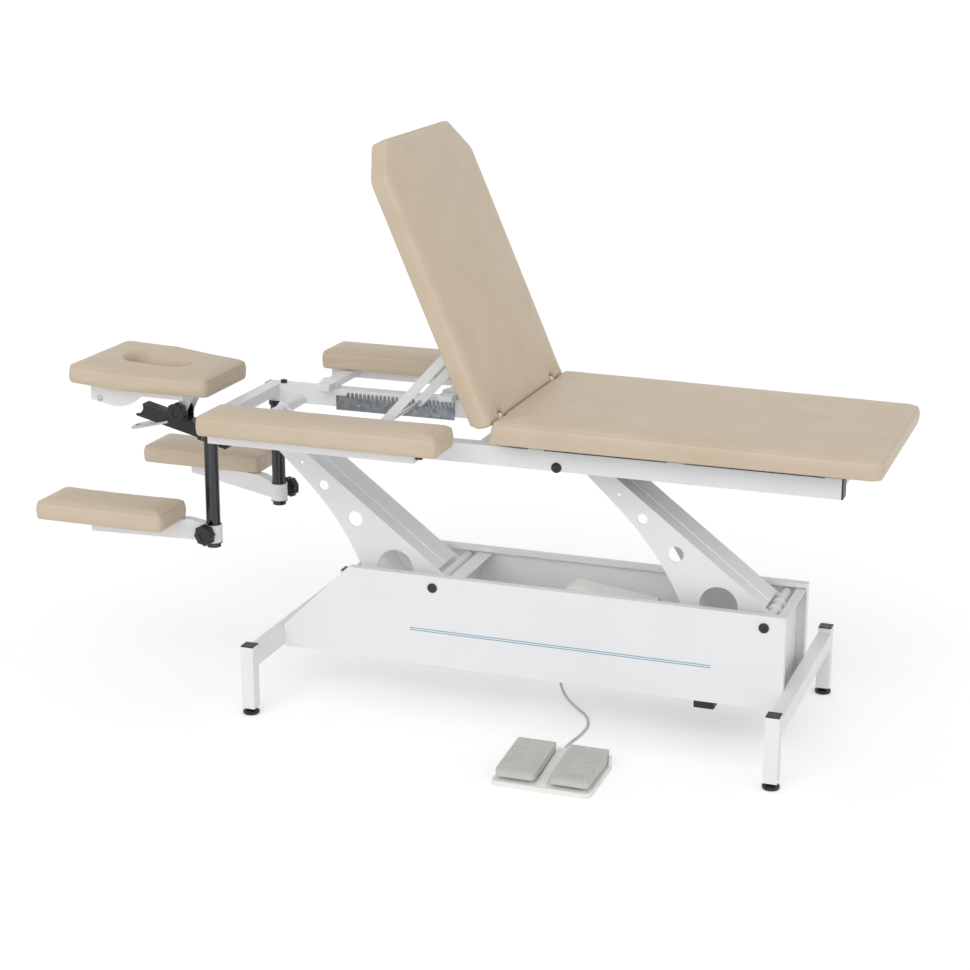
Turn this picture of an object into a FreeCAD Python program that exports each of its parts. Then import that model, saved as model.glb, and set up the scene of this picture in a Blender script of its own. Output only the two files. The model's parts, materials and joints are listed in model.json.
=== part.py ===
"""Electric massage table: four-section couch on a parallelogram lift, with foot switch.

X runs from the head end (-X) to the foot end (+X), Y across the couch, Z up from the floor.
Lengths are in millimetres, and the origin is on the floor under the middle of the base.
"""
import FreeCAD, Part
import math
import os

V = FreeCAD.Vector
X_AXIS, Y_AXIS, Z_AXIS = V(1, 0, 0), V(0, 1, 0), V(0, 0, 1)

# Base
leg_spacing = 1400.0
leg_half_track = 332.0
leg_size = 35.0
leg_top = 190.0
leg_bottom = 18.0
tube_wall = 2.0
bar_height = 45.0
bar_drop = 12.0
plug_height = 3.0
panel_half_width = 150.0
panel_bottom = 127.0
panel_height = 248.0
panel_sheet = 3.0
panel_flange = 22.0
panel_lip = 12.0
panel_toe_height = 63.0
panel_slant = 190.0
member_width = 42.0
foot_disc_diameter = 44.0
foot_disc_height = 14.0
foot_stem_diameter = 12.0
foot_travel = 15.0

# Lift parallelogram
pivot_x_head = -254.0
pivot_x_foot = 629.0
pivot_z = 344.0
arm_run = 522.0
arm_rise = 384.0
pin_diameter = 14.0
pin_clearance = 0.05
arm_tube_diameter = 32.0
arm_half_width = 70.0
arm_sheet = 4.0
arm_seam = 16.0
arm_strip = 34.0
arm_strip_sheet = 3.0
arm_root_top = 10.0
arm_tip_top = 20.0
side_gap = 2.0
cap_diameter = 26.0
cap_thickness = 6.0
# Lightening holes: distance from the lower pin, distance under the pin line, diameter
arm_holes = ((492.0, 13.0, 9.0), (407.0, 21.6, 27.0), (284.6, 36.8, 42.0), (118.4, 68.5, 100.0))
# Curved lower edge: distance from the lower pin, depth under the pin line
arm_belly = ((584.0, 25.0), (466.0, 42.0), (333.0, 71.0), (273.0, 96.0), (196.0, 130.0), (120.0, 148.0))

# Top frame
rail_height = 50.0
rail_width = 40.0
rail_outer = 227.0
rail_bottom = 718.0
rail_left = -880.0
rail_right = 817.0
cross_tube_height = 30.0
cross_tube_width = 40.0
bearer_height = 22.0
bearer_width = 40.0
cap_plate = 4.0

# Cushions
couch_width = 600.0
board_thickness = 15.0
board_inset = 12.0
seat_left = -37.0
seat_right = 925.0
seat_thickness = 66.0
seat_foot_drop = 13.0
corner_radius = 32.0
edge_radius = 14.0
cushion_crown = 5.0
cushion_draw = 3.0
backrest_length = 732.0
backrest_thickness = 60.0
backrest_chamfer_run = 88.0
backrest_chamfer_side = 92.0
backrest_angle = 66.3
hinge_depth = 16.0
hinge_offset = 15.3
hinge_gap = 26.0
hinge_sheet = 6.0
hinge_inset = 24.0
hinge_pin = 8.0
soft_gap = 0.4

# Backrest prop
rack_left = -665.0
rack_right = -316.0
rack_thickness = 4.0
rack_drop = 8.0
rack_height = 50.0
rack_shoulder = 34.0
rack_pitch = 12.0
rack_slot = 7.0
rack_slot_depth = 20.0
strut_half_track = 145.0
strut_width = 24.0
strut_thickness = 6.0
strut_angle = 47.7
strut_reach = 200.6
strut_depth = 14.0
strut_rod = 10.0

# Head section
head_left = -1310.0
head_right = -905.0
head_half_outer = 172.0
head_half_inner = 128.0
head_thickness = 56.0
head_bottom = 792.0
head_tilt = 3.0
face_hole_length = 188.0
face_hole_width = 106.0
face_hole_x = -1115.0
tilt_x = -1040.0
tilt_z = 722.0
carrier_slope = 13.8
carrier_axis_z = 682.0
carrier_left = -1180.0
carrier_right = -892.0
carrier_width = 40.0
carrier_depth = 38.0
carrier_wall = 4.0
socket_left = -985.0
socket_right = -897.0
socket_wall = 4.0
socket_fit = 0.2
hanger_depth = 25.0
hanger_weld = 7.0
cradle_half_width = 110.0
cradle_sheet = 4.0
cradle_left = -1265.0
cradle_length = 280.0
cradle_right = cradle_left + cradle_length
flange_end_depth = 54.0
flange_toe_depth = 64.0
flange_toe = 70.0
flange_sweep = 83.0
flange_waist_depth = 26.0
flange_tail_depth = 20.0
knob_diameter = 58.0
knob_depth = 20.0
knob_lobes = 8
screw_diameter = 10.0
hinge_plate = 56.0
bail_wire = 8.0
bail_length = 118.0
bail_drop = 30.0

# Armrests beside the backrest
armrest_left = -773.0
armrest_right = -125.0
armrest_inner = 323.0
armrest_width = 140.0
armrest_bottom = 787.0
armrest_thickness = 58.0
armrest_rail_width = 40.0
armrest_rail_height = 30.0
armrest_rail_left = -760.0
armrest_rail_right = -205.0
slide_bar_width = 40.0
slide_bar_height = 18.0
slide_bar_gap = 0.3
slide_bar_places = (-690.0, -330.0)

# Arm supports on posts
post_x = -857.0
post_diameter = 38.0
post_bottom = 410.0
bush_wall = 1.5
bush_height = 50.0
collar_wall = 3.0
collar_bottom = 424.0
support_left = -1300.0
support_right = -925.0
support_center = 298.0
support_width = 160.0
support_bottom = 487.0
support_thickness = 56.0
support_bar_width = 30.0
support_bar_end = -1170.0
support_bar_tip_height = 36.0

# Foot switch on the floor
switch_left = 50.0
switch_right = 303.0
switch_front = -551.0
switch_back = -345.0
switch_height = 14.0
switch_rear_height = 26.0
switch_bridge = 34.0
pedal_gap = 4.0
pedal_rear_height = 52.0
pedal_lift = 9.0
cord_diameter = 7.0

# Lift drive
drive_x = 45.0
drive_z = 292.0
drive_pin_run = 75.0
drive_pin_drop = 115.0
drive_pin = 12.0
drive_tube = 46.0
drive_bore = 39.0
drive_rod = 20.0
box_x = 476.0
box_width = 54.0
box_bottom = 98.0
box_rise = 60.0
box_rear = 60.0
box_corner = 5.0
strap_width = 24.0
strap_sheet = 4.0
inlet_y = -40.0
inlet_low = 26.0
inlet_width = 28.0
inlet_height = 22.0
inlet_depth = 14.0
inlet_wall = 3.0
blade_pitch = 7.0
blade_sheet = 2.0
blade_height = 6.0

# Places worked out from the dimensions above
leg_x = leg_spacing / 2
panel_end = leg_x - leg_size / 2
panel_top = panel_bottom + panel_height
bar_top = leg_top - bar_drop
inner_panel = panel_half_width - panel_sheet
rail_inner = rail_outer - rail_width
rail_middle = rail_outer - rail_width / 2
rail_top = rail_bottom + rail_height
seat_bottom = rail_top + bearer_height
seat_top = seat_bottom + seat_thickness
upper_z = pivot_z + arm_rise
arm_length = math.hypot(arm_run, arm_rise)
arm_angle = math.degrees(math.atan2(arm_rise, arm_run))
hinge_x = seat_left - hinge_offset
hinge_z = seat_top - hinge_depth
back_end = seat_left - hinge_gap
drive_pin_x = pivot_x_foot - drive_pin_run
drive_pin_z = pivot_z - drive_pin_drop
drive_angle = math.degrees(math.atan2(drive_pin_z - drive_z, drive_pin_x - drive_x))
drive_length = math.hypot(drive_pin_x - drive_x, drive_pin_z - drive_z)

os.makedirs("parts", exist_ok=True)


def save(name, *solids):
    """Write one node; separate pieces that share it stay separate solids."""
    shape = solids[0] if len(solids) == 1 else Part.makeCompound(list(solids))
    shape.exportStep("parts/" + name + ".step")


def box(x0, x1, y0, y1, z0, z1):
    return Part.makeBox(x1 - x0, y1 - y0, z1 - z0, V(x0, y0, z0))


def rod(start, direction, length, diameter):
    return Part.makeCylinder(diameter / 2, length, start, direction)


def rod_y(x, z, y0, y1, diameter):
    return rod(V(x, y0, z), Y_AXIS, y1 - y0, diameter)


def sleeve_y(x, z, y0, y1, outer, bore):
    return rod_y(x, z, y0, y1, outer).cut(rod_y(x, z, y0 - 1, y1 + 1, bore))


def prism_y(points, y0, y1):
    """Extrude an outline drawn in X and Z along Y."""
    wire = Part.makePolygon([V(x, y0, z) for x, z in points] + [V(points[0][0], y0, points[0][1])])
    return Part.Face(wire).extrude(V(0, y1 - y0, 0))


def hollow(x0, x1, y0, y1, z0, z1, wall, along):
    """Rectangular tube, open at both ends along one axis."""
    inside = {"x": (x0 - 1, x1 + 1, y0 + wall, y1 - wall, z0 + wall, z1 - wall),
              "y": (x0 + wall, x1 - wall, y0 - 1, y1 + 1, z0 + wall, z1 - wall),
              "z": (x0 + wall, x1 - wall, y0 + wall, y1 - wall, z0 - 1, z1 + 1)}[along]
    return box(x0, x1, y0, y1, z0, z1).cut(box(*inside))


def turned(shape, x, z, degrees):
    """Copy of a shape turned about a line along Y; positive turns +Z towards +X."""
    copy = shape.copy()
    copy.rotate(V(x, 0, z), Y_AXIS, degrees)
    return copy


def mirrored(shape):
    return shape.mirror(V(0, 0, 0), Y_AXIS)


def rounded(points, radius, z, lean=0.0):
    """Closed outline of straight sides and corner arcs; lean is its climb per length of X."""
    count = len(points)
    first_x = points[0][0]
    corners = [V(x, y, z + lean * (x - first_x)) for x, y in points]
    edges = []
    ends = []
    for i in range(count):
        before = corners[i - 1]
        corner = corners[i]
        after = corners[(i + 1) % count]
        back = (before - corner).normalize()
        ahead = (after - corner).normalize()
        half = math.acos(max(-1, min(1, back.dot(ahead)))) / 2
        reach = radius / math.tan(half)
        middle = corner + (back + ahead).normalize() * (radius / math.sin(half) - radius)
        ends.append((corner + back * reach, middle, corner + ahead * reach))
    for i in range(count):
        edges.append(Part.Arc(*ends[i]).toShape())
        edges.append(Part.LineSegment(ends[i][2], ends[(i + 1) % count][0]).toShape())
    return Part.Wire(edges)


def inset(points, amount):
    """Pull every corner of an outline towards its middle by the same amount on each side."""
    xs = [p[0] for p in points]
    ys = [p[1] for p in points]
    mx, my = (min(xs) + max(xs)) / 2, (min(ys) + max(ys)) / 2
    kx = 1 - 2 * amount / (max(xs) - min(xs))
    ky = 1 - 2 * amount / (max(ys) - min(ys))
    return [(mx + (x - mx) * kx, my + (y - my) * ky) for x, y in points]


def cushion(points, bottom, thickness, radius, crown=cushion_crown, drop=0.0):
    """Padded block: drawn-in foot, full waist, rolled upper edge and a crowned top.

    The top falls by drop from the first point's end to the other end along X.
    """
    roll = edge_radius
    shoulder = thickness - crown
    xs = [p[0] for p in points]
    ys = [p[1] for p in points]
    length = max(xs) - min(xs)
    half = min(length, max(ys) - min(ys)) / 2

    def outline(height, pull):
        lean = -drop / length * height / thickness
        return rounded(inset(points, pull), max(radius - 0.5 * pull, 4), bottom + height, lean)

    sides = ((0.0, cushion_draw), (0.45 * shoulder, 0.0), (shoulder - roll, 0.6),
             (shoulder - 0.3 * roll, 0.3 * roll), (shoulder, 0.95 * roll))
    top = (sides[-1], (shoulder + 0.5 * crown, roll + 0.12 * half),
           (shoulder + 0.85 * crown, roll + 0.3 * half), (thickness, roll + 0.6 * half))
    block = Part.makeLoft([outline(*level) for level in sides], True, False)
    return block.fuse(Part.makeLoft([outline(*level) for level in top], True, True))


def star_knob(point, outward):
    """Lobed clamp knob with its threaded stud, pointing outward from the face it clamps."""
    body = Part.makeCylinder(knob_diameter / 2 - 4, knob_depth, V(0, 0, 0), Z_AXIS)
    for i in range(knob_lobes):
        angle = 2 * math.pi * i / knob_lobes
        place = V(math.cos(angle), math.sin(angle), 0) * (knob_diameter / 2 - 6)
        body = body.fuse(Part.makeCylinder(6, knob_depth - 4, place + V(0, 0, 2), Z_AXIS))
    hub = Part.makeCone(10, 14, 8, V(0, 0, -8), Z_AXIS)
    dish = Part.makeCylinder(11, 2, V(0, 0, knob_depth - 2), Z_AXIS)
    body = body.fuse(hub).cut(dish).removeSplitter()
    body.Placement = FreeCAD.Placement(point + outward * 8.4, FreeCAD.Rotation(Z_AXIS, outward))
    return body


def side_panel():
    """Front base panel: sheet with a slanted head end, folded top, lip and end flanges."""
    slant_x = -panel_end + panel_slant
    toe = panel_bottom + panel_toe_height
    outline = ((-panel_end, panel_bottom), (-panel_end, toe), (slant_x, panel_top),
               (panel_end, panel_top), (panel_end, panel_bottom))
    y0, y1 = -panel_half_width, -inner_panel
    edge = y0 + panel_flange
    plate = prism_y(outline, y0, y1)
    top = box(slant_x, panel_end, y0, edge, panel_top - panel_sheet, panel_top)
    lip = box(slant_x, panel_end - panel_sheet, edge - panel_sheet, edge, panel_top - panel_lip, panel_top)
    foot = box(-panel_end, panel_end, y0, edge, panel_bottom, panel_bottom + panel_sheet)
    end = box(panel_end - panel_sheet, panel_end, y0, edge, panel_bottom, panel_top)
    slant = prism_y(((-panel_end, toe), (slant_x, panel_top),
                     (slant_x + panel_sheet, panel_top - panel_sheet),
                     (-panel_end + panel_sheet, toe - panel_sheet),
                     (-panel_end, toe - panel_sheet)), y0, edge)
    shape = plate.fuse([top, lip, foot, end, slant])
    for x in (pivot_x_head, pivot_x_foot):
        shape = shape.cut(rod_y(x, pivot_z, y0 - 1, edge + 1, pin_diameter))
    return shape.removeSplitter()


def foot_frame(x):
    """Cross bar and two legs of one end of the base."""
    half = leg_size / 2
    reach = leg_half_track - half
    pieces = [hollow(x - half, x + half, -reach, reach, bar_top - bar_height, bar_top, tube_wall, "y")]
    for y in (-leg_half_track, leg_half_track):
        pieces.append(hollow(x - half, x + half, y - half, y + half, leg_bottom, leg_top, tube_wall, "z"))
    return pieces


def leg_plugs(x, y):
    """Black top cap and threaded bottom insert of one leg."""
    half = leg_size / 2
    bore = half - tube_wall
    cap = box(x - half, x + half, y - half, y + half, leg_top, leg_top + plug_height)
    insert = box(x - bore, x + bore, y - bore, y + bore, leg_bottom, leg_bottom + 24)
    insert = insert.cut(rod(V(x, y, leg_bottom - 1), Z_AXIS, 26, foot_stem_diameter + 2 * pin_clearance))
    return [cap, insert]


def levelling_foot(x, y):
    """Turned foot: disc with a tapered collar and its stem, resting on the floor."""
    r = foot_disc_diameter / 2
    stem = foot_stem_diameter / 2
    top = leg_bottom + 24 + foot_travel + 6
    profile = Part.makePolygon([V(0, 0, 0), V(r - 2, 0, 0), V(r, 0, 3), V(r, 0, foot_disc_height * 0.55),
                                V(stem + 5, 0, foot_disc_height), V(stem, 0, foot_disc_height),
                                V(stem, 0, top), V(0, 0, top), V(0, 0, 0)])
    shape = Part.Face(profile).revolve(V(0, 0, 0), Z_AXIS, 360)
    shape.translate(V(x, y, 0))
    return shape


base_corners = [(sx * leg_x, sy * leg_half_track) for sx in (-1, 1) for sy in (-1, 1)]
front_panel = side_panel()
save("side_panel_front", front_panel)
save("side_panel_rear", mirrored(front_panel))
save("foot_frame_head", *foot_frame(-leg_x))
save("foot_frame_foot", *foot_frame(leg_x))
for number, (x, y) in enumerate(base_corners, 1):
    save("levelling_foot_%d" % number, levelling_foot(x, y))

lower_pins = [rod_y(x, pivot_z, -panel_half_width, panel_half_width, pin_diameter)
              for x in (pivot_x_head, pivot_x_foot)]
save("lower_pivot_shafts", *lower_pins)


def pivot_cap(x, z, face, side):
    """Domed black cap over the end of a pivot pin."""
    start = V(x, side * face, z)
    out = V(0, side, 0)
    rim = Part.makeCylinder(cap_diameter / 2, cap_thickness * 0.5, start, out)
    dome = Part.makeCone(cap_diameter / 2, cap_diameter / 2 - 4, cap_thickness * 0.5,
                         start + out * (cap_thickness * 0.5), out)
    return rim.fuse(dome)


plugs = []
for x, y in base_corners:
    plugs += leg_plugs(x, y)
for x in (pivot_x_head, pivot_x_foot):
    for side in (-1, 1):
        plugs.append(pivot_cap(x, pivot_z, panel_half_width, side))
save("base_plugs", *plugs)

# Cross members of the base, with the lugs of the lift drive
beam_left, beam_right = -30.0, 70.0
beam_bottom, beam_top = 130.0, 182.0
beam_wall = 3.0
lug_gap = 21.0
lug_sheet = 6.0


def channel_y(x0, x1, z0, z1):
    """Folded channel between the base panels, open to the foot end."""
    outer = box(x0, x1, -inner_panel, inner_panel, z0, z1)
    return outer.cut(box(x0 + beam_wall, x1 + 1, -inner_panel - 1, inner_panel + 1,
                         z0 + beam_wall, z1 - beam_wall))


def lug(x, z, bottom, y0, y1, pin):
    """Upright bracket with a round head and a pin hole."""
    width = 2 * pin
    shape = box(x - width, x + width, y0, y1, bottom, z).fuse(rod_y(x, z, y0, y1, 2 * width))
    return shape.cut(rod_y(x, z, y0 - 1, y1 + 1, pin)).removeSplitter()


member_top = panel_top - panel_lip - 2
end_member = channel_y(panel_end - panel_sheet - member_width + 16, panel_end - panel_sheet,
                       panel_bottom + 2 * panel_sheet, member_top)
head_member_x = pivot_x_head + arm_tube_diameter / 2 + 12
head_member = channel_y(head_member_x, head_member_x + member_width,
                        panel_bottom + 2 * panel_sheet, member_top)
drive_beam = hollow(beam_left, beam_right, -inner_panel, inner_panel, beam_bottom, beam_top, beam_wall, "y")
drive_lugs = [lug(drive_x, drive_z, beam_top, y0, y0 + lug_sheet, drive_pin)
              for y0 in (-lug_gap - lug_sheet, lug_gap)]
drive_base_pin = rod_y(drive_x, drive_z, -lug_gap - lug_sheet, lug_gap + lug_sheet, drive_pin)
save("base_cross_members", end_member, head_member, drive_beam, *drive_lugs, drive_base_pin)

# Control box under the drive, hung on a strap between the panels, with the mains inlet below it
box_top = panel_bottom + box_rise
strap = box(box_x - strap_width / 2, box_x + strap_width / 2, -inner_panel, inner_panel,
            box_top, box_top + strap_sheet)
box_end = box_x + box_width / 2
case = box(box_x - box_width / 2, box_end, -inner_panel + panel_flange, box_rear, box_bottom, box_top)
case = case.makeFillet(box_corner, [e for e in case.Edges if abs(e.tangentAt(e.FirstParameter).z) > 0.9])
inlet_middle = box_bottom + inlet_low + inlet_height / 2


def in_inlet(x0, x1, y, width, height):
    """Block in the mains inlet, centred on its height and set off by y from its middle."""
    return box(x0, x1, inlet_y + y - width / 2, inlet_y + y + width / 2,
               inlet_middle - height / 2, inlet_middle + height / 2)


inlet_pocket = in_inlet(box_end - inlet_depth, box_end + 1, 0, inlet_width, inlet_height)
save("control_box", case.cut(inlet_pocket), strap)
inlet = in_inlet(box_end - inlet_depth, box_end, 0, inlet_width, inlet_height)
inlet = inlet.cut(in_inlet(box_end - inlet_depth + inlet_wall, box_end + 1, 0,
                           inlet_width - 2 * inlet_wall, inlet_height - 2 * inlet_wall))
blades = [in_inlet(box_end - inlet_depth + 1, box_end - inlet_wall, y, blade_sheet, blade_height)
          for y in (-blade_pitch, 0, blade_pitch)]
save("mains_inlet", inlet.fuse(blades))

# Foot switch: moulded base with two sprung pedals hinged at the far edge
switch_middle = (switch_left + switch_right) / 2
cheek = 5.0
pedal_pin = 6.0
pedal_axis_y = switch_back - 16
pedal_axis_z = switch_rear_height + 2
pedal_corner = 12.0


def prism_x(points, x0, x1):
    """Extrude an outline drawn in Y and Z along X."""
    wire = Part.makePolygon([V(x0, y, z) for y, z in points] + [V(x0, points[0][0], points[0][1])])
    return Part.Face(wire).extrude(V(x1 - x0, 0, 0))


def rectangle(x0, x1, y0, y1):
    return [(x0, y0), (x1, y0), (x1, y1), (x0, y1)]


def switch_base():
    plan = Part.Face(rounded(rectangle(switch_left, switch_right, switch_front, switch_back), 16, 0))
    tray = plan.extrude(V(0, 0, switch_height))
    rise = ((switch_front + 20, switch_height), (switch_back, switch_rear_height + 8), (switch_back, 0),
            (switch_front + 20, 0))
    bridge = prism_x(rise, switch_middle - switch_bridge / 2, switch_middle + switch_bridge / 2)
    ear = ((pedal_axis_y - 14, 0), (pedal_axis_y - 8, pedal_axis_z + 8), (switch_back, pedal_axis_z + 8),
           (switch_back, 0))
    ears = [prism_x(ear, switch_left, switch_left + cheek), prism_x(ear, switch_right - cheek, switch_right)]
    pin = rod(V(switch_left, pedal_axis_y, pedal_axis_z), X_AXIS, switch_right - switch_left, pedal_pin)
    shape = tray.fuse([bridge] + ears + [pin])
    return shape.common(plan.extrude(V(0, 0, 90))).removeSplitter()


def pedal(x0, x1):
    y0, y1 = switch_front + 10, switch_back - 2
    low, high = switch_height + pedal_lift, switch_height + pedal_lift + 12
    plan = Part.Face(rounded(rectangle(x0, x1, y0, y1), pedal_corner, 0)).extrude(V(0, 0, 90))
    side = prism_x(((y0, low), (y0, high), (y0 + 8, high + 4), (y1 - 10, pedal_rear_height),
                    (y1, pedal_rear_height - 6), (y1, low), (pedal_axis_y + 8, low - 4),
                    (pedal_axis_y - 8, low - 4)), x0, x1)
    bore = rod(V(x0 - 1, pedal_axis_y, pedal_axis_z), X_AXIS, x1 - x0 + 2, pedal_pin + 2 * pin_clearance)
    return plan.common(side).cut(bore).removeSplitter()


save("footswitch_base", switch_base())
bridge_side = switch_bridge / 2 + pedal_gap / 2
save("pedal_up", pedal(switch_left + cheek + pedal_gap / 2, switch_middle - bridge_side))
save("pedal_down", pedal(switch_middle + bridge_side, switch_right - cheek - pedal_gap / 2))

# Foot switch lead: out of the gland under the drive beam, down to the floor and round to the switch
gland_x, gland_length, gland_diameter = 50.0, 28.0, 16.0
cord_level = cord_diameter / 2
cord_route = [V(gland_x, 0, beam_bottom - gland_length), V(52, 0, 66), V(70, -4, 26), V(108, -18, cord_level),
              V(147, -58, cord_level), V(170, -114, cord_level), V(171, -176, cord_level),
              V(160, -234, cord_level), V(155, -288, 5), V(switch_middle, switch_back, 9)]
gland = rod(V(gland_x, 0, beam_bottom), V(0, 0, -1), 6, gland_diameter)
gland = gland.fuse(Part.makeCone(gland_diameter / 2 - 1, cord_diameter / 2 + 1.2, gland_length - 6,
                                 V(gland_x, 0, beam_bottom - 6), V(0, 0, -1)))
save("cord_gland", gland)


def tube_along(points, diameter):
    """Round tube along straight runs joined by arcs as large as the runs allow, its length and radii."""
    edges = []
    radii = []
    here = points[0]
    for before, corner, after in zip(points, points[1:], points[2:]):
        back, ahead = (before - corner), (after - corner)
        run = min(back.Length, ahead.Length)
        back.normalize()
        ahead.normalize()
        half = math.acos(back.dot(ahead)) / 2
        reach = 0.45 * run
        radius = reach * math.tan(half)
        radii.append(round(radius))
        middle = corner + (back + ahead).normalize() * (radius / math.sin(half) - radius)
        edges.append(Part.LineSegment(here, corner + back * reach).toShape())
        edges.append(Part.Arc(corner + back * reach, middle, corner + ahead * reach).toShape())
        here = corner + ahead * reach
    edges.append(Part.LineSegment(here, points[-1]).toShape())
    path = Part.Wire(edges)
    ring = Part.Wire(Part.makeCircle(diameter / 2, points[0], points[1] - points[0]))
    return path.makePipeShell([ring], True, False), path.Length, radii


cord, cord_length, cord_radii = tube_along(cord_route, cord_diameter)
cord_ratio = cord.Volume / (cord_length * math.pi * cord_diameter ** 2 / 4)
print("cord radii", cord_radii, "length", round(cord_length), "volume ratio", round(cord_ratio, 4))
save("footswitch_cord", cord)

# Lift arms: two folded side plates joined by a welded strip, with a pivot tube at each end
arm_turn = math.radians(arm_angle)
arm_overhang = 18.0
flange_start, flange_end = 26.0, arm_length - 26.0


def on_arm(pivot_x, along, above, y):
    """Point at a distance along an arm from its lower pin and above the line of its pins."""
    return V(pivot_x - along * math.cos(arm_turn) + above * math.sin(arm_turn), y,
             pivot_z + along * math.sin(arm_turn) + above * math.cos(arm_turn))


def arm_top(along):
    return arm_root_top + (arm_tip_top - arm_root_top) * along / arm_length


def arm_strip_solid(pivot_x, low, high, y0, y1):
    """Flat strip that follows an arm's upper edge between two heights."""
    corners = [(flange_start, low), (flange_end, low), (flange_end, high), (flange_start, high)]
    points = [on_arm(pivot_x, s, arm_top(s) + t, y0) for s, t in corners]
    return Part.Face(Part.makePolygon(points + points[:1])).extrude(V(0, y1 - y0, 0))


def arm_plate(pivot_x, y0, y1):
    """Side plate: straight upper edge, curved belly and a row of growing holes."""
    def at(s, t):
        return on_arm(pivot_x, s, t, y0)

    tip = arm_length + arm_overhang
    (_, _), belly_1, belly_2, _, belly_4, belly_5 = arm_belly
    heel = at(-arm_overhang, arm_root_top)
    nose = at(tip, arm_tip_top)
    chin = at(tip, -arm_overhang)
    toe = at(-arm_overhang, -2 * arm_overhang)
    arc = Part.Arc(at(belly_1[0], -belly_1[1]), at(belly_2[0], -belly_2[1]), at(belly_4[0], -belly_4[1]))
    corner = at(belly_5[0], -belly_5[1])
    edges = [Part.LineSegment(heel, nose).toShape(), Part.LineSegment(nose, chin).toShape(),
             Part.LineSegment(chin, at(belly_1[0], -belly_1[1])).toShape(), arc.toShape(),
             Part.LineSegment(at(belly_4[0], -belly_4[1]), corner).toShape(),
             Part.LineSegment(corner, toe).toShape(), Part.LineSegment(toe, heel).toShape()]
    plate = Part.Face(Part.Wire(edges)).extrude(V(0, y1 - y0, 0))
    for along, below, diameter in arm_holes:
        plate = plate.cut(rod(on_arm(pivot_x, along, -below, y0 - 1), Y_AXIS, y1 - y0 + 2, diameter))
    return plate


def lift_arm(name, pivot_x, extra_pins):
    upper_x = pivot_x - arm_run
    low_half = panel_half_width - panel_flange - side_gap
    high_half = rail_inner - side_gap
    bore = pin_diameter + 2 * pin_clearance
    tubes = [sleeve_y(pivot_x, pivot_z, -low_half, low_half, arm_tube_diameter, bore),
             sleeve_y(upper_x, upper_z, -high_half, high_half, arm_tube_diameter, bore)]
    holes = [rod_y(pivot_x, pivot_z, -low_half, low_half, arm_tube_diameter),
             rod_y(upper_x, upper_z, -high_half, high_half, arm_tube_diameter)] + extra_pins
    inner = arm_half_width - arm_sheet
    front = arm_plate(pivot_x, -arm_half_width, -inner)
    front = front.fuse(arm_strip_solid(pivot_x, -arm_sheet, 0, -arm_half_width, -arm_seam / 2))
    rear = arm_plate(pivot_x, inner, arm_half_width)
    rear = rear.fuse(arm_strip_solid(pivot_x, -arm_sheet, 0, arm_seam / 2, arm_half_width))
    lap = arm_strip_solid(pivot_x, 0, arm_strip_sheet, -arm_strip / 2, arm_strip / 2)
    plates = [side.cut(holes).removeSplitter() for side in (front, rear)]
    save(name + "_plates", *plates, lap)
    save(name + "_tubes", *tubes, *extra_pins)


def drive_lever():
    """Two plates that hang from the foot arm's lower tube and carry the drive's pin."""
    root = 21.0
    tip = 1.6 * drive_pin
    reach = math.hypot(drive_pin_run, drive_pin_drop)
    across_x, across_z = drive_pin_drop / reach, -drive_pin_run / reach
    outline = [(pivot_x_foot + root * across_x, pivot_z + root * across_z),
               (drive_pin_x + tip * across_x, drive_pin_z + tip * across_z),
               (drive_pin_x - tip * across_x, drive_pin_z - tip * across_z),
               (pivot_x_foot - root * across_x, pivot_z - root * across_z)]
    lever_outer = lug_gap + 1.5 * lug_sheet
    pieces = [rod_y(drive_pin_x, drive_pin_z, -lever_outer, lever_outer, drive_pin)]
    for y0, y1 in ((-lever_outer, -lug_gap), (lug_gap, lever_outer)):
        pieces += [prism_y(outline, y0, y1), rod_y(pivot_x_foot, pivot_z, y0, y1, 2 * root),
                   rod_y(drive_pin_x, drive_pin_z, y0, y1, 2 * tip)]
    lever = pieces[0].fuse(pieces[1:])
    tube = rod_y(pivot_x_foot, pivot_z, -arm_half_width, arm_half_width, arm_tube_diameter)
    return lever.cut(tube).removeSplitter()


lift_arm("lift_arm_head", pivot_x_head, [])
lift_arm("lift_arm_foot", pivot_x_foot, [drive_lever()])

# Lift drive: motor housing and tube hinged on the base, rod hinged on the foot arm's lever
housing_start = 34.0
housing_end = 264.0
housing_top = 68.0
housing_bottom = -30.0
housing_half_width = 38.0
housing_corner = 14.0
nose_radius = 46.0
nose_x = 55.0
nose_low = 27.0
drive_tube_end = 400.0
rod_start = 290.0
drive_eye = 34.0
eye_half = lug_gap - 0.5


def drive_piece(shape):
    """Lay a piece drawn along +X from the base pin onto the drive's own line."""
    shape.rotate(V(0, 0, 0), Y_AXIS, -drive_angle)
    shape.translate(V(drive_x, 0, drive_z))
    return shape


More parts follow.
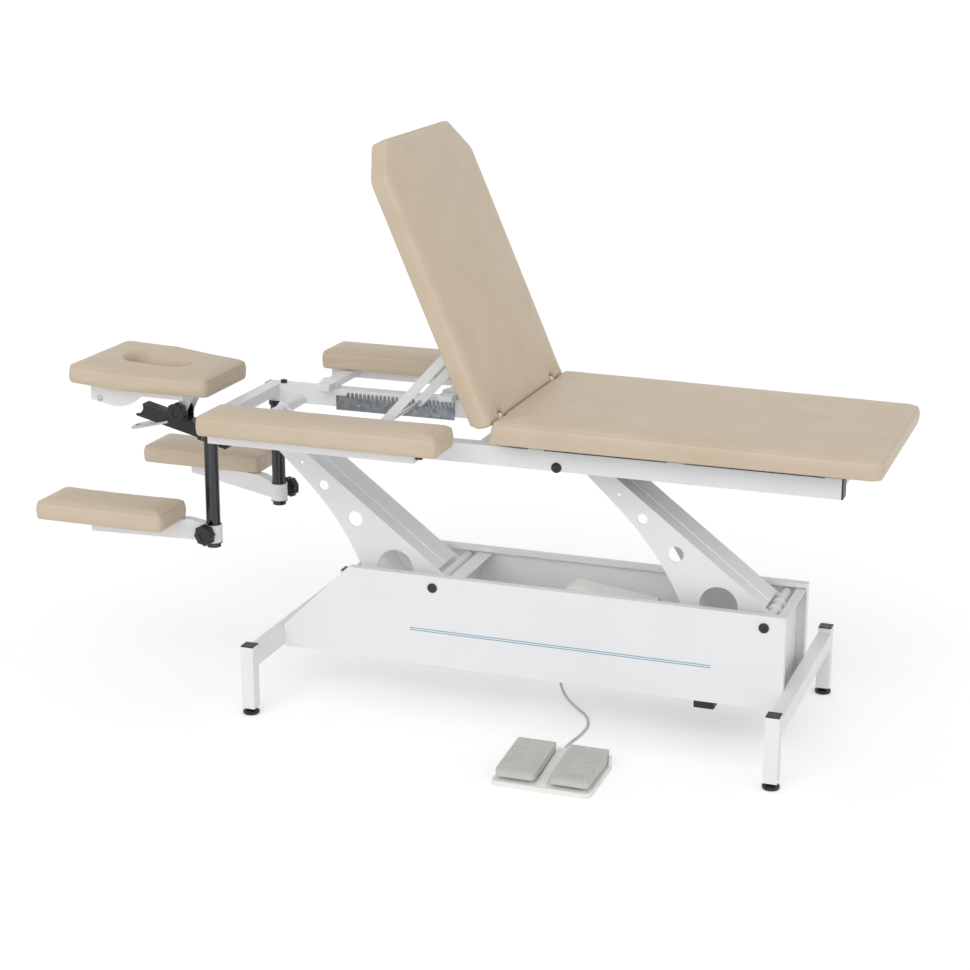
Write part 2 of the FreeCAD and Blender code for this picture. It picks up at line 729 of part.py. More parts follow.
def drive_housing():
    """Moulded cover over motor and gears, with a round nose above the pin and rounded edges."""
    nose_z = housing_top - nose_radius
    nose_start = nose_x - math.sqrt(nose_radius ** 2 - (nose_low - nose_z) ** 2)
    turn = math.radians(45)
    nose = Part.Arc(V(nose_start, 0, nose_low),
                    V(nose_x - nose_radius * math.cos(turn), 0, nose_z + nose_radius * math.sin(turn)),
                    V(nose_x, 0, housing_top)).toShape()
    corners = [V(x, 0, z) for x, z in ((nose_x, housing_top), (housing_end, housing_top),
                                       (housing_end, housing_bottom), (housing_start, housing_bottom),
                                       (housing_start, nose_low), (nose_start, nose_low))]
    sides = [Part.makeLine(corners[i], corners[i + 1]) for i in range(len(corners) - 1)]
    side_view = Part.Face(Part.Wire(sides + [nose])).extrude(V(0, 2 * housing_half_width, 0))
    side_view.translate(V(0, -housing_half_width, 0))
    end_view = box(nose_start, housing_end, -housing_half_width, housing_half_width,
                   housing_bottom, housing_top)
    long_edges = [e for e in end_view.Edges if abs(e.tangentAt(e.FirstParameter).x) > 0.9]
    shell = side_view.common(end_view.makeFillet(housing_corner, long_edges))
    eye = sleeve_y(0, 0, -eye_half, eye_half, drive_eye, drive_pin + 2 * pin_clearance)
    neck_half = drive_eye / 2 - 3
    neck = box(drive_eye / 2 - 2, housing_start + 1, -eye_half, eye_half, -neck_half, neck_half)
    return eye.fuse([neck, shell]).removeSplitter()


save("drive_housing", drive_piece(drive_housing()))
outer = rod(V(housing_end, 0, 0), X_AXIS, drive_tube_end - housing_end, drive_tube)
outer = outer.cut(rod(V(housing_end - 1, 0, 0), X_AXIS, drive_tube_end, drive_bore))
save("drive_tube", drive_piece(outer))
ram = rod(V(rod_start, 0, 0), X_AXIS, drive_length - rod_start - drive_eye / 2 + 3, drive_rod)
ram_eye = sleeve_y(drive_length, 0, -eye_half, eye_half, drive_eye, drive_pin + 2 * pin_clearance)
save("drive_rod", drive_piece(ram.fuse(ram_eye).removeSplitter()))

# Top frame
end_z = rail_top - cross_tube_height
post_places = [(post_x, -rail_middle), (post_x, rail_middle)]
upper_pins = [rod_y(x - arm_run, upper_z, -rail_outer, rail_outer, pin_diameter)
              for x in (pivot_x_head, pivot_x_foot)]
rails = []
for side in (-1, 1):
    y0, y1 = sorted((side * rail_inner, side * rail_outer))
    rail = hollow(rail_left, rail_right, y0, y1, rail_bottom, rail_top, tube_wall, "x")
    rails.append(rail.cut(upper_pins))
save("frame_rails", *rails)
save("upper_pivot_shafts", *upper_pins)

bearer_places = (seat_left + 70, (seat_left + rail_right) / 2, rail_right - bearer_width)
cross_tubes = [hollow(x, x + cross_tube_width, -rail_inner, rail_inner, end_z, rail_top, tube_wall, "y")
               for x in (rail_left, rail_right - cross_tube_width)]
cross_tubes += [hollow(x, x + bearer_width, -rail_outer, rail_outer, rail_top, seat_bottom, tube_wall, "y")
                for x in bearer_places]


def bar_guide(x, side):
    """Strap welded on the rail that holds a sliding armrest bar down."""
    half = slide_bar_width / 2 + slide_bar_gap
    height = slide_bar_height + slide_bar_gap
    y0, y1 = sorted((side * (rail_inner + 4), side * (rail_outer - 4)))
    outer = box(x - half - 3, x + half + 3, y0, y1, rail_top, rail_top + height + 3)
    return outer.cut(box(x - half, x + half, y0 - 1, y1 + 1, rail_top - 1, rail_top + height))


cross_tubes += [bar_guide(x, side) for x in slide_bar_places for side in (-1, 1)]
cross_tubes.append(box(hinge_x - hinge_plate, hinge_x - 3, -rail_inner, rail_inner, rail_top - 4, rail_top))
save("frame_cross_tubes", *cross_tubes)

frame_plugs = []
for side in (-1, 1):
    y0, y1 = sorted((side * rail_inner, side * rail_outer))
    frame_plugs.append(box(rail_right, rail_right + cap_plate, y0, y1, rail_bottom, rail_top))
    frame_plugs.append(box(rail_left - cap_plate, rail_left, y0, y1, rail_bottom, rail_top))
    frame_plugs.append(rod(V(rail_left + 46, side * rail_middle, rail_top), Z_AXIS, 8, 18))
    for pin_x in (pivot_x_head - arm_run, pivot_x_foot - arm_run):
        frame_plugs.append(pivot_cap(pin_x, upper_z, rail_outer, side))
posts = []
for x, y in post_places:
    post = rod(V(x, y, post_bottom), Z_AXIS, rail_bottom - post_bottom, post_diameter)
    posts.append(post.cut(rod(V(x, y, post_bottom - 1), Z_AXIS, rail_bottom, post_diameter - 6)))
    collar = rod(V(x, y, rail_bottom - 14), Z_AXIS, 14, post_diameter + 8)
    frame_plugs.append(collar.cut(rod(V(x, y, rail_bottom - 15), Z_AXIS, 16, post_diameter)))
save("support_posts", *posts)
save("frame_plugs", *frame_plugs)

# Seat section
half_couch = couch_width / 2
seat_plan = rectangle(seat_left, seat_right, -half_couch, half_couch)


def board(points, z):
    return Part.Face(rounded(inset(points, board_inset), corner_radius - board_inset, z)).extrude(
        V(0, 0, board_thickness))


seat_board = board(seat_plan, seat_bottom)
save("seat_board", seat_board)
seat_pad = cushion(seat_plan, seat_bottom, seat_thickness, corner_radius, drop=seat_foot_drop)
save("seat_cushion", seat_pad.cut(seat_board))

# Backrest, drawn flat and then raised about its hinge
back_tip = back_end - backrest_length
back_bottom = seat_top - backrest_thickness
back_shoulder = half_couch - backrest_chamfer_side
back_plan = [(back_end, -half_couch), (back_end, half_couch), (back_tip + backrest_chamfer_run, half_couch),
             (back_tip, back_shoulder), (back_tip, -back_shoulder),
             (back_tip + backrest_chamfer_run, -half_couch)]


def raised(shape):
    return turned(shape, hinge_x, hinge_z, backrest_angle)


back_board = board(back_plan, back_bottom)
save("backrest_board", raised(back_board))
back_pad = cushion(back_plan, back_bottom, backrest_thickness, corner_radius)
save("backrest_cushion", raised(back_pad.cut(back_board)))

# Hinges: brackets on the rails with their pins, and leaves under the backrest board
hinge_half = 9.0
leaf_depth = 12.0
leaf_length = 190.0
bracket_y = rail_outer - hinge_inset
leaf_y = bracket_y + hinge_sheet + 0.4
pin_reach = leaf_y + hinge_sheet + 4 - bracket_y
strut_pin_x = hinge_x - strut_reach
strut_pin_z = back_bottom - strut_depth
strut_inner = strut_half_track - strut_thickness / 2
strut_outer = strut_half_track + strut_thickness / 2
strut_lug_y = strut_outer + 0.4
strut_pin = 8.0


def eyed_strip(x, z, top, bottom, y0, y1, pin):
    """Upright strip with round ends and a pin hole at its upper end."""
    strip = box(x - hinge_half, x + hinge_half, y0, y1, bottom, top).fuse(rod_y(x, z, y0, y1, 2 * hinge_half))
    return strip.cut(rod_y(x, z, y0 - 1, y1 + 1, pin)).removeSplitter()


brackets, fittings = [], []
for mirror in (False, True):
    bracket = eyed_strip(hinge_x, hinge_z, hinge_z, rail_top, bracket_y, bracket_y + hinge_sheet, hinge_pin)
    pin = rod_y(hinge_x, hinge_z, bracket_y, bracket_y + pin_reach, hinge_pin)
    leaf = eyed_strip(hinge_x, hinge_z, hinge_z, back_bottom - leaf_depth, leaf_y, leaf_y + hinge_sheet,
                      hinge_pin + 2 * pin_clearance)
    leaf = leaf.fuse(box(back_end - leaf_length, hinge_x, leaf_y, leaf_y + hinge_sheet,
                         back_bottom - leaf_depth, back_bottom)).removeSplitter()
    lug_plate = box(strut_pin_x - 14, strut_pin_x + 14, strut_lug_y, strut_lug_y + 4,
                    strut_pin_z, back_bottom)
    lug_plate = lug_plate.fuse([rod_y(strut_pin_x, strut_pin_z, strut_lug_y, strut_lug_y + 4, 24),
                                rod_y(strut_pin_x, strut_pin_z, strut_inner, strut_lug_y, strut_pin)])
    pieces = [bracket, pin, raised(leaf), raised(lug_plate.removeSplitter())]
    if mirror:
        pieces = [mirrored(piece) for piece in pieces]
    brackets += pieces[:2]
    fittings += pieces[2:]
save("backrest_hinges", *brackets)
save("backrest_fittings", *fittings)

# Toothed racks on the inner faces of the rails
rack_bottom = rail_bottom - rack_drop
rack_tip = rack_bottom + rack_height
tooth_tip = rack_pitch - rack_slot - 2


def rack(side):
    points = [(rack_left, rack_bottom), (rack_right, rack_bottom), (rack_right, rack_tip)]
    count = int((rack_right - rack_left - rack_shoulder) / rack_pitch)
    root = rack_tip - rack_slot_depth
    for i in range(count):
        x = rack_right - i * rack_pitch
        points += [(x - tooth_tip, rack_tip), (x - tooth_tip - rack_slot / 2 + 1, root),
                   (x - tooth_tip - rack_slot / 2 - 1, root), (x - tooth_tip - rack_slot - 1, rack_tip)]
    last = rack_right - count * rack_pitch - tooth_tip
    points += [(last, rack_tip), (last - 4, rack_tip - 10), (rack_left, rack_tip - 10)]
    y0, y1 = sorted((side * (rail_inner - rack_thickness), side * rail_inner))
    plate = prism_y(points, y0, y1)
    for x in (rack_left + 66, rack_right - 70):
        plate = plate.cut(rod_y(x, rack_bottom + 16, y0 - 1, y1 + 1, 8))
    return plate


save("prop_racks", rack(-1), rack(1))

# Prop strut between the backrest and the racks
top_pin = V(strut_pin_x, 0, strut_pin_z)
hinge_point = V(hinge_x, 0, hinge_z)
top_pin = FreeCAD.Rotation(Y_AXIS, backrest_angle).multVec(top_pin - hinge_point) + hinge_point
rod_z = rack_tip + strut_rod / 2 + soft_gap
strut_length = (top_pin.z - rod_z) / math.sin(math.radians(strut_angle))
rod_x = top_pin.x - strut_length * math.cos(math.radians(strut_angle))


def strut_bar(y0, y1):
    flat = box(-strut_length, 0, y0, y1, -strut_width / 2, strut_width / 2)
    flat = flat.fuse([rod_y(0, 0, y0, y1, strut_width), rod_y(-strut_length, 0, y0, y1, strut_width)])
    flat = flat.cut([rod_y(0, 0, y0 - 1, y1 + 1, strut_pin + 2 * pin_clearance),
                     rod_y(-strut_length, 0, y0 - 1, y1 + 1, strut_rod)]).removeSplitter()
    flat.rotate(V(0, 0, 0), Y_AXIS, -strut_angle)
    flat.translate(top_pin)
    return flat


save("strut_bars", strut_bar(-strut_outer, -strut_inner), strut_bar(strut_inner, strut_outer))
rod_half = rail_inner - soft_gap
save("strut_rod", rod_y(rod_x, rod_z, -rod_half, rod_half, strut_rod))

# Head section: inclined carrier in a socket under the frame, cradle with lugs, cushion with face hole
carrier_half = carrier_width / 2
ear_half = 18.0
carrier_lip = 6.0
lug_inner = carrier_half + 0.4
lug_outer = lug_inner + 6
stud_reach = 8.0
slope = math.radians(carrier_slope)


def inclined(shape):
    return turned(shape, tilt_x, carrier_axis_z, carrier_slope)


def along_carrier(x, above):
    """Point on the carrier's line at a level distance x, and above that line, in the XZ plane."""
    run = x - tilt_x
    return V(tilt_x + run * math.cos(slope) + above * math.sin(slope), 0,
             carrier_axis_z - run * math.sin(slope) + above * math.cos(slope))


def carrier():
    """Channel open downwards with a scooped end, two ears for the tilt pin, and the pin itself."""
    half = carrier_depth / 2
    low = carrier_axis_z - half
    high = carrier_axis_z + half
    body = box(carrier_left, carrier_right, -carrier_half, carrier_half, low, high)
    body = body.cut(box(carrier_left - 1, carrier_right + 1, -carrier_half + carrier_wall,
                        carrier_half - carrier_wall, low - 1, high - carrier_wall))
    scoop = rod_y(carrier_left - 2, carrier_axis_z + carrier_lip,
                  -carrier_half - 1, carrier_half + 1, carrier_depth)
    body = inclined(body.cut(scoop))
    ears = []
    for y0 in (-carrier_half, carrier_half - carrier_wall):
        ears.append(box(tilt_x - ear_half, tilt_x + ear_half, y0, y0 + carrier_wall, carrier_axis_z, tilt_z))
        ears.append(rod_y(tilt_x, tilt_z, y0, y0 + carrier_wall, 2 * ear_half))
    pin = rod_y(tilt_x, tilt_z, -lug_outer - stud_reach, lug_outer, screw_diameter)
    holes = rod_y(bail_x, bail_z, -carrier_half - 1, carrier_half + 1, bail_wire + 2 * pin_clearance)
    return body.fuse(ears + [pin]).cut(holes).removeSplitter()


bail_pivot = along_carrier(tilt_x - 42, -4)
bail_x, bail_z = bail_pivot.x, bail_pivot.z
save("head_carrier", carrier())

bail_y = carrier_half + bail_wire / 2 + 1
stub = carrier_half - carrier_wall + 0.5
bail_points = [V(0, -stub, 0), V(0, -bail_y, 0), V(-bail_length, -bail_y, -bail_drop),
               V(-bail_length, bail_y, -bail_drop), V(0, bail_y, 0), V(0, stub, 0)]
bail, _, _ = tube_along([point + bail_pivot for point in bail_points], bail_wire)
save("head_bail", bail)

knob_bore = screw_diameter + 2 * pin_clearance


def knob_on_stud(point, outward):
    """Star knob turned onto the end of a stud that stands out of a face."""
    return star_knob(point, outward).cut(rod(point - outward, outward, stud_reach + 1.5, knob_bore))


save("head_knob", knob_on_stud(V(tilt_x, -lug_outer, tilt_z), V(0, -1, 0)))


def head_socket():
    """Sleeve for the carrier, hung under the head end of the frame."""
    half_w = carrier_half + socket_fit
    half_d = carrier_depth / 2 + socket_fit
    sleeve = box(socket_left, socket_right, -half_w - socket_wall, half_w + socket_wall,
                 carrier_axis_z - half_d - socket_wall, carrier_axis_z + half_d + socket_wall)
    hanger = box(rail_left - hanger_depth, rail_left, -half_w - socket_wall, half_w + socket_wall,
                 along_carrier(socket_right, 0).z, end_z + hanger_weld)
    bore = box(socket_left - 20, socket_right + 20, -half_w, half_w,
               carrier_axis_z - half_d, carrier_axis_z + half_d)
    return inclined(sleeve).fuse(hanger).cut(inclined(bore)).removeSplitter()


save("head_socket", head_socket())

head_plan = [(head_right, -head_half_inner), (head_right, head_half_inner),
             ((head_left + head_right) / 2 - 40, head_half_outer + 6), (head_left, head_half_outer - 6),
             (head_left, -head_half_outer + 6), ((head_left + head_right) / 2 - 40, -head_half_outer - 6)]
head_top = head_bottom + head_thickness


def tipped(shape):
    """Lift the outer end of the head section to its resting tilt."""
    return turned(shape, head_right, head_bottom, head_tilt)


def hole_outline(z, flare):
    """Oval outline of the face hole at one height, widened by flare."""
    plan = rectangle(face_hole_x - face_hole_length / 2, face_hole_x + face_hole_length / 2,
                     -face_hole_width / 2, face_hole_width / 2)
    return rounded(inset(plan, -flare), face_hole_width / 2 - 2 + flare, z)


def face_hole():
    levels = ((head_bottom - 2, 0.0), (head_top - 20, 0.0), (head_top - 6, 5.0), (head_top + 3, 17.0))
    return Part.makeLoft([hole_outline(z, flare) for z, flare in levels], True, False)


head_corner = 22.0
save("head_cushion", tipped(cushion(head_plan, head_bottom, head_thickness, head_corner).cut(face_hole())))


def cradle():
    """Tray under the head cushion with shaped side flanges and two pivot lugs."""
    bottom = head_bottom - cradle_sheet
    half = cradle_half_width
    tray = box(cradle_left, cradle_right, -half, half, bottom, head_bottom)
    tray = tray.cut(Part.Face(hole_outline(bottom - 1, 0.0)).extrude(V(0, 0, cradle_sheet + 2)))
    toe_x = cradle_left + flange_toe
    waist_x = toe_x + flange_sweep
    profile = ((cradle_left, 0.0), (cradle_left, flange_end_depth), (toe_x, flange_toe_depth),
               (waist_x, flange_waist_depth), (cradle_right, flange_tail_depth), (cradle_right, 0.0))
    corners = [V(x, -half, head_bottom - depth) for x, depth in profile]
    edges = [Part.makeLine(corners[i - 1], corners[i]) for i in (0, 1, 2, 4, 5)]
    sweep_middle = (corners[2] + corners[3]) / 2 + V(flange_sweep / 6, 0, -flange_sweep / 20)
    edges.append(Part.Arc(corners[2], sweep_middle, corners[3]).toShape())
    flange = Part.Face(Part.Wire(Part.__sortEdges__(edges))).extrude(V(0, cradle_sheet, 0))
    tray = tipped(tray.fuse([flange, mirrored(flange)]))
    lugs = []
    under = head_bottom - cradle_sheet / 2 + (head_right - cradle_right) * math.sin(math.radians(head_tilt))
    lug_left = face_hole_x + face_hole_length / 2 + 4
    outline = ((tilt_x - ear_half, tilt_z), (lug_left, under), (cradle_right, under),
               (tilt_x + ear_half, tilt_z))
    for y0, y1 in ((-lug_outer, -lug_inner), (lug_inner, lug_outer)):
        lugs.append(prism_y(outline, y0, y1))
        lugs.append(rod_y(tilt_x, tilt_z, y0, y1, 2 * ear_half))
    shape = tray.fuse(lugs)
    return shape.cut(rod_y(tilt_x, tilt_z, -lug_outer - 1, lug_outer + 1, knob_bore)).removeSplitter()


save("head_cradle", cradle())

# Armrests level with the couch, each on a rail with two bars that slide over the frame
bar_inner = strut_outer + 4
pad_corner = 12.0
armrest_middle = armrest_inner + armrest_width / 2
armrest_rail_inner = armrest_middle - armrest_rail_width / 2
armrest_knob_diameter = 18.0
armrest_knob_length = 16.0
armrest_stud = 6.0
for name, side in (("front", -1), ("rear", 1)):
    y0, y1 = sorted((side * armrest_inner, side * (armrest_inner + armrest_width)))
    plan = rectangle(armrest_left, armrest_right, y0, y1)
    pad = cushion(plan, armrest_bottom, armrest_thickness, pad_corner)
    save("armrest_cushion_" + name, pad)
    y0, y1 = sorted((side * armrest_rail_inner, side * (armrest_rail_inner + armrest_rail_width)))
    rail_z = armrest_bottom - armrest_rail_height
    rail = hollow(armrest_rail_left, armrest_rail_right, y0, y1, rail_z, armrest_bottom, tube_wall, "x")
    middle = V(armrest_rail_right, side * armrest_middle, rail_z + armrest_rail_height / 2)
    end_cap = box(armrest_rail_right, armrest_rail_right + cap_plate, y0, y1, rail_z, armrest_bottom)
    end_cap = end_cap.fuse(rod(middle, X_AXIS, cap_plate + stud_reach, armrest_stud)).removeSplitter()
    pieces = [rail, end_cap]
    y0, y1 = sorted((side * bar_inner, side * armrest_rail_inner))
    low = rail_top + slide_bar_gap / 2
    for x in slide_bar_places:
        pieces.append(hollow(x - slide_bar_width / 2, x + slide_bar_width / 2, y0, y1,
                             low, low + slide_bar_height, tube_wall, "y"))
    save("armrest_frame_" + name, *pieces)
    start = middle + X_AXIS * (cap_plate + 0.4)
    knob = rod(start, X_AXIS, armrest_knob_length, armrest_knob_diameter)
    knob = knob.makeFillet(3, [knob.Edges[0]])
    hole = rod(start - X_AXIS, X_AXIS, stud_reach + 1.5, armrest_stud + 2 * pin_clearance)
    save("armrest_knob_" + name, knob.cut(hole))

# Lower arm supports: bush and collar on each post, oblique bar, cushion and clamp knob
bush_bore = post_diameter + 2 * pin_clearance
bush_outer = bush_bore + 2 * bush_wall
collar_bore = bush_outer + 2 * pin_clearance
collar_outer = collar_bore + 2 * collar_wall
collar_top = collar_bottom + bush_height - 2
clamp_z = collar_bottom + 28
near_clamp_angle = -98.0
far_clamp_angle = 66.0


def support_arm(x, y, side):
    """Collar with an oblique tapered bar under the cushion and the stud of its clamp knob."""
    run = math.hypot(support_bar_end - x, side * support_center - y)
    bar = Part.Face(Part.makePolygon([
        V(0, -support_bar_width / 2, collar_top - 2), V(60, -support_bar_width / 2, support_bottom),
        V(run, -support_bar_width / 2, support_bottom),
        V(run, -support_bar_width / 2, support_bottom - support_bar_tip_height),
        V(0, -support_bar_width / 2, collar_bottom + 4),
        V(0, -support_bar_width / 2, collar_top - 2)])).extrude(V(0, support_bar_width, 0))
    bar.rotate(V(0, 0, 0), Z_AXIS, math.degrees(math.atan2(side * support_center - y, support_bar_end - x)))
    bar.translate(V(x, y, 0))
    sleeve = rod(V(x, y, collar_bottom), Z_AXIS, collar_top - collar_bottom, collar_outer)
    stud = rod(V(x, y, clamp_z), clamp_direction(side), collar_outer / 2 + stud_reach, screw_diameter)
    bore = rod(V(x, y, collar_bottom - 20), Z_AXIS, bush_height + 100, collar_bore)
    return sleeve.fuse([bar, stud]).cut(bore).removeSplitter()


def clamp_direction(side):
    """Way out from the post that a clamp knob points; the far one is turned more towards the foot end."""
    angle = math.radians(near_clamp_angle if side < 0 else far_clamp_angle)
    return V(math.cos(angle), math.sin(angle), 0)


for name, (x, y), side in (("front", post_places[0], -1), ("rear", post_places[1], 1)):
    sleeve = rod(V(x, y, collar_bottom), Z_AXIS, bush_height, bush_outer)
    flange = rod(V(x, y, collar_bottom - 3), Z_AXIS, 3 - 0.2, collar_outer)
    bush = sleeve.fuse(rod(V(x, y, collar_bottom - 3), Z_AXIS, 3, bush_outer)).fuse(flange)
    bush = bush.cut(rod(V(x, y, collar_bottom - 10), Z_AXIS, bush_height + 20, bush_bore)).removeSplitter()
    save("support_bush_" + name, bush)
    save("support_arm_" + name, support_arm(x, y, side))
    y0, y1 = [side * support_center + edge * support_width / 2 for edge in (-1, 1)]
    plan = rectangle(support_left, support_right, y0, y1)
    pad = cushion(plan, support_bottom, support_thickness, pad_corner)
    save("support_cushion_" + name, pad)
    out = clamp_direction(side)
    save("support_knob_" + name, knob_on_stud(V(x, y, clamp_z) + out * (collar_outer / 2), out))
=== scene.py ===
"""Looks of the height-adjustable massage table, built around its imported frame."""
import json
import math

import bmesh
import bpy
import numpy as np
from mathutils import Matrix, Vector
from mathutils.bvhtree import BVHTree

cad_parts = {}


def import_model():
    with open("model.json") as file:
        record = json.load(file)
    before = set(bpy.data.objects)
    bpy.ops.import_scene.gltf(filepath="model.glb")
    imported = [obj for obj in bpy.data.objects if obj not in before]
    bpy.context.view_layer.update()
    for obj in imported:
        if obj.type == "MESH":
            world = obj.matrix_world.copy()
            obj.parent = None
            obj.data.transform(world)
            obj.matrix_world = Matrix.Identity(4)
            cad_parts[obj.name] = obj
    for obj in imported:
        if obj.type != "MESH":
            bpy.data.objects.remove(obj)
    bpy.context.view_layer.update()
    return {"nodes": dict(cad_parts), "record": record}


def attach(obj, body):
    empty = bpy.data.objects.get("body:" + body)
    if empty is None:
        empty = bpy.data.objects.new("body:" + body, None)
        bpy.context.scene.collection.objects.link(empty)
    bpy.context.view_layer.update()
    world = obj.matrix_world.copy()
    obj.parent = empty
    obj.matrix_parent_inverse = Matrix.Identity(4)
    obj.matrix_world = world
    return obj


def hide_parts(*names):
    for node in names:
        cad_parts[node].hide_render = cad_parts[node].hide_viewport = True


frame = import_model()
nodes = frame["nodes"]
scene = bpy.context.scene
scene.view_settings.view_transform = "Standard"


# Materials

def srgb(r, g, b):
    """Linear colour from 0-255 display values."""
    def linear(c):
        c = c / 255
        return c / 12.92 if c <= 0.04045 else ((c + 0.055) / 1.055) ** 2.4
    return (linear(r), linear(g), linear(b), 1.0)


class Shader:
    """A principled material with a few procedural layers on object coordinates."""

    def __init__(self, name, rough, metal=0.0, specular=0.5):
        self.material = bpy.data.materials.new(name)
        self.material.use_nodes = True
        self.tree = self.material.node_tree
        self.surface = self.tree.nodes["Principled BSDF"]
        self.surface.inputs["Roughness"].default_value = rough
        self.surface.inputs["Metallic"].default_value = metal
        self.surface.inputs["Specular IOR Level"].default_value = specular
        self.coords = self.tree.nodes.new("ShaderNodeTexCoord")
        self.height = None

    def link(self, a, b):
        self.tree.links.new(a, b)

    def place(self, stretch):
        mapping = self.tree.nodes.new("ShaderNodeMapping")
        mapping.inputs["Scale"].default_value = stretch
        self.link(self.coords.outputs["Object"], mapping.inputs["Vector"])
        return mapping.outputs["Vector"]

    def noise(self, scale, detail=3.0, stretch=(1, 1, 1), rough=0.5):
        node = self.tree.nodes.new("ShaderNodeTexNoise")
        node.inputs["Scale"].default_value = scale
        node.inputs["Detail"].default_value = detail
        node.inputs["Roughness"].default_value = rough
        self.link(self.place(stretch), node.inputs["Vector"])
        return node.outputs["Fac"]

    def cells(self, scale, feature="F1", stretch=(1, 1, 1), output="Distance"):
        node = self.tree.nodes.new("ShaderNodeTexVoronoi")
        node.feature = feature
        node.inputs["Scale"].default_value = scale
        self.link(self.place(stretch), node.inputs["Vector"])
        return node.outputs[output]

    def bands(self, scale, direction):
        node = self.tree.nodes.new("ShaderNodeTexWave")
        node.bands_direction = direction
        node.inputs["Scale"].default_value = scale
        self.link(self.coords.outputs["Object"], node.inputs["Vector"])
        return node.outputs["Fac"]

    def ramp(self, factor, *stops):
        node = self.tree.nodes.new("ShaderNodeValToRGB")
        while len(node.color_ramp.elements) < len(stops):
            node.color_ramp.elements.new(0.5)
        for element, (place, colour) in zip(node.color_ramp.elements, stops):
            element.position = place
            element.color = colour
        self.link(factor, node.inputs["Fac"])
        return node.outputs["Color"]

    def colour(self, factor, *stops):
        self.link(self.ramp(factor, *stops), self.surface.inputs["Base Color"])
        return self

    def roughness(self, factor, low, high):
        node = self.tree.nodes.new("ShaderNodeMapRange")
        node.inputs["To Min"].default_value = low
        node.inputs["To Max"].default_value = high
        self.link(factor, node.inputs["Value"])
        self.link(node.outputs["Result"], self.surface.inputs["Roughness"])
        return self

    def bump(self, factor, distance, strength=1.0):
        """Add one layer of relief; distance is its depth in metres."""
        node = self.tree.nodes.new("ShaderNodeBump")
        node.inputs["Strength"].default_value = strength
        node.inputs["Distance"].default_value = distance
        self.link(factor, node.inputs["Height"])
        if self.height:
            self.link(self.height, node.inputs["Normal"])
        self.height = node.outputs["Normal"]
        self.link(self.height, self.surface.inputs["Normal"])
        return self


def vinyl():
    s = Shader("upholstery_vinyl", 0.46, specular=0.4)
    s.colour(s.noise(9, 4), (0.3, srgb(203, 186, 163)), (0.7, srgb(209, 192, 170)))
    s.roughness(s.noise(60, 3), 0.4, 0.52)
    s.bump(s.noise(14, 2), 0.0008, 0.35)
    s.bump(s.cells(900, "SMOOTH_F1"), 0.00012, 0.35)
    return s.material


def powder_coat(name, low, high):
    s = Shader(name, 0.36)
    s.colour(s.noise(6, 3), (0.3, low), (0.7, high))
    s.roughness(s.noise(40, 3), 0.3, 0.42)
    s.bump(s.noise(750, 2), 0.00008, 0.4)
    return s.material


def moulded(name, low, high, rough, grain=1400):
    s = Shader(name, rough)
    s.colour(s.noise(30, 3), (0.3, low), (0.7, high))
    s.roughness(s.noise(90, 3), rough - 0.06, rough + 0.08)
    s.bump(s.noise(grain, 2), 0.00006, 0.5)
    return s.material


def turned_steel():
    s = Shader("turned_steel", 0.3, metal=1.0)
    s.colour(s.noise(40, 3, (1, 30, 1)), (0.3, srgb(176, 178, 180)), (0.7, srgb(204, 205, 206)))
    s.roughness(s.noise(120, 3, (1, 20, 1)), 0.22, 0.38)
    s.bump(s.noise(300, 2, (6, 1, 6)), 0.00003, 0.4)
    return s.material


def galvanised():
    s = Shader("zinc_plate", 0.4, metal=1.0)
    s.colour(s.cells(90, output="Color"), (0.2, srgb(122, 126, 129)), (0.8, srgb(152, 156, 159)))
    s.roughness(s.cells(90), 0.3, 0.5)
    s.bump(s.noise(200, 2), 0.00005, 0.4)
    return s.material


def dark_chrome():
    s = Shader("dark_chrome", 0.16, metal=1.0)
    s.colour(s.noise(70, 3, (1, 1, 0.02)), (0.3, srgb(54, 54, 56)), (0.7, srgb(86, 86, 89)))
    s.roughness(s.noise(150, 3, (1, 1, 0.05)), 0.12, 0.22)
    return s.material


def lining():
    s = Shader("lining_cloth", 0.85, specular=0.2)
    s.colour(s.noise(20, 3), (0.3, srgb(30, 29, 28)), (0.7, srgb(44, 42, 40)))
    s.bump(s.bands(420, "X"), 0.00012, 0.5)
    s.bump(s.bands(420, "Y"), 0.00012, 0.5)
    return s.material


MATERIALS = {
    "vinyl": vinyl(),
    "white_coat": powder_coat("white_powder_coat", srgb(236, 237, 239), srgb(241, 241, 242)),
    "black_metal": powder_coat("black_powder_coat", srgb(22, 22, 23), srgb(32, 32, 33)),
    "black_plastic": moulded("black_plastic", srgb(20, 20, 21), srgb(31, 31, 32), 0.42),
    "nylon": moulded("black_nylon", srgb(26, 26, 27), srgb(38, 38, 39), 0.34),
    "grey_plastic": moulded("grey_plastic", srgb(194, 195, 188), srgb(203, 203, 197), 0.5),
    "pale_plastic": moulded("pale_plastic", srgb(238, 237, 232), srgb(243, 242, 238), 0.45),
    "pinstripe": moulded("pinstripe_film", srgb(96, 158, 178), srgb(104, 165, 184), 0.4),
    "cord_grey": moulded("cord_jacket", srgb(196, 196, 194), srgb(206, 206, 204), 0.45, 900),
    "steel": turned_steel(),
    "galvanised": galvanised(),
    "dark_chrome": dark_chrome(),
    "board": lining(),
}
slot_of = {part["node"]: part["material_slot"] for part in frame["record"]["subparts"]}
for name, node in nodes.items():
    node.data.materials.clear()
    node.data.materials.append(MATERIALS[slot_of[name]])


def add(name, mesh, body, slot):
    """New piece of the object from a mesh, riding on a body with the finish of one slot."""
    piece = bpy.data.objects.new(name, mesh)
    scene.collection.objects.link(piece)
    mesh.materials.clear()
    mesh.materials.append(MATERIALS[slot])
    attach(piece, body)
    return piece


# Camera, floor and light

